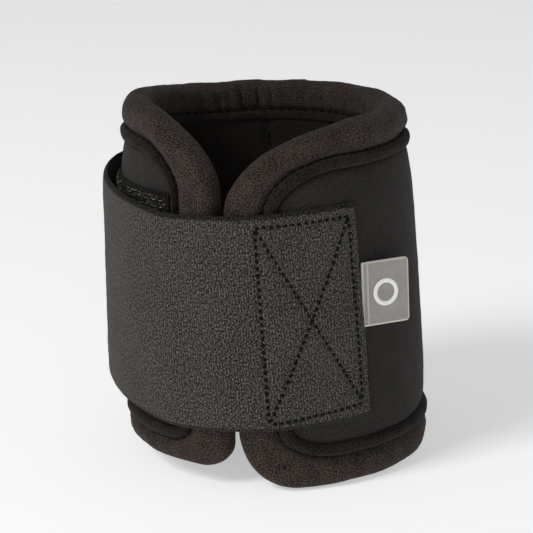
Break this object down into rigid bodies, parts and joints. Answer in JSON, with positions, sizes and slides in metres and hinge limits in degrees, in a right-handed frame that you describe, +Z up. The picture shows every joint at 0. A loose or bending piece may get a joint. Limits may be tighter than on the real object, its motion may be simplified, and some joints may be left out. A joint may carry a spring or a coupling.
{
  "type": "ankle cuff weight",
  "caption": "Padded wrap-around ankle cuff weight standing on its hem, strapped shut, with rolled knit edges, sewn shot packs, one wide loop strap and a small flag tag.",
  "frame": {"origin": "centre of the ankle opening on the table, at the level of the bottom hem that it stands on", "axes": "+Z up along the height of the cuff, -Y out through the gap between the two flaps, +X to the right of someone facing that gap"},
  "size_m": [0.1101, 0.1073, 0.1244],
  "materials": {
    "neoprene": "matte jersey-faced neoprene",
    "lining": "matte smooth lining",
    "knit_binding": "matte fine rib knit",
    "foam": "soft foam core",
    "piping": "matte folded knit tape",
    "shot_pack": "steel shot in a sealed sleeve",
    "hook_patch": "stiff moulded hooks with a slight glint",
    "loop_strap": "brushed loop pile in fine vertical ribs",
    "tag": "translucent grey moulded silicone",
    "tag_mark": "raised white print"
  },
  "bodies": {
    "back": {"outer_panel_back": "neoprene", "lining_back": "lining", "edge_binding_back_top": "knit_binding", "edge_binding_back_bottom": "knit_binding", "edge_foam_back_top": "foam", "edge_foam_back_bottom": "foam", "seam_piping_back_top": "piping", "seam_piping_back_bottom": "piping", "weight_pack_back_1": "shot_pack", "weight_pack_back_2": "shot_pack", "weight_pack_back_3": "shot_pack"},
    "left_wing": {"outer_panel_left": "neoprene", "lining_left": "lining", "edge_binding_left": "knit_binding", "edge_foam_left": "foam", "seam_piping_left": "piping", "weight_pack_left_1": "shot_pack", "weight_pack_left_2": "shot_pack", "weight_pack_left_3": "shot_pack", "hook_patch": "hook_patch"},
    "right_wing": {"outer_panel_right": "neoprene", "lining_right": "lining", "edge_binding_right": "knit_binding", "edge_foam_right": "foam", "seam_piping_right": "piping", "weight_pack_right_1": "shot_pack", "weight_pack_right_2": "shot_pack", "weight_pack_right_3": "shot_pack", "strap_anchor": "loop_strap", "side_tag": "tag", "tag_emblem": "tag_mark"},
    "strap_front": {"strap_front": "loop_strap"},
    "strap_side": {"strap_side": "loop_strap"},
    "strap_tail": {"strap_tail": "loop_strap"}
  },
  "joints": [
    {"name": "cuff_open", "type": "hinge", "parent": "back", "child": "left_wing", "pos_m": [-0.04316, 0.02934, 0.06], "axis": [-0.0084, 0.0205, -0.9998], "range_deg": [0, 35]},
    {"name": "right_wing_open", "type": "hinge", "parent": "back", "child": "right_wing", "pos_m": [0.04064, 0.02934, 0.06], "axis": [-0.0502, -0.0205, 0.9985], "range_deg": [0, 35]},
    {"name": "strap_release", "type": "hinge", "parent": "right_wing", "child": "strap_front", "pos_m": [0.01091, -0.0521, 0.05785], "axis": [-0.0592, 0.0278, 0.9979], "range_deg": [0, 70]},
    {"name": "strap_peel", "type": "hinge", "parent": "strap_front", "child": "strap_side", "pos_m": [-0.028, -0.04658, 0.05794], "axis": [-0.0301, 0.0466, 0.9985], "range_deg": [0, 45]},
    {"name": "strap_tail_peel", "type": "hinge", "parent": "strap_side", "child": "strap_tail", "pos_m": [-0.05548, -0.01443, 0.0635], "axis": [0.0066, 0.0358, 0.9993], "range_deg": [0, 45]}
  ],
  "couplings": [
    {"joint": "right_wing_open", "follows": "cuff_open", "ratio": 1},
    {"joint": "strap_release", "follows": "cuff_open", "ratio": 2},
    {"joint": "strap_tail_peel", "follows": "strap_peel", "ratio": 1}
  ]
}
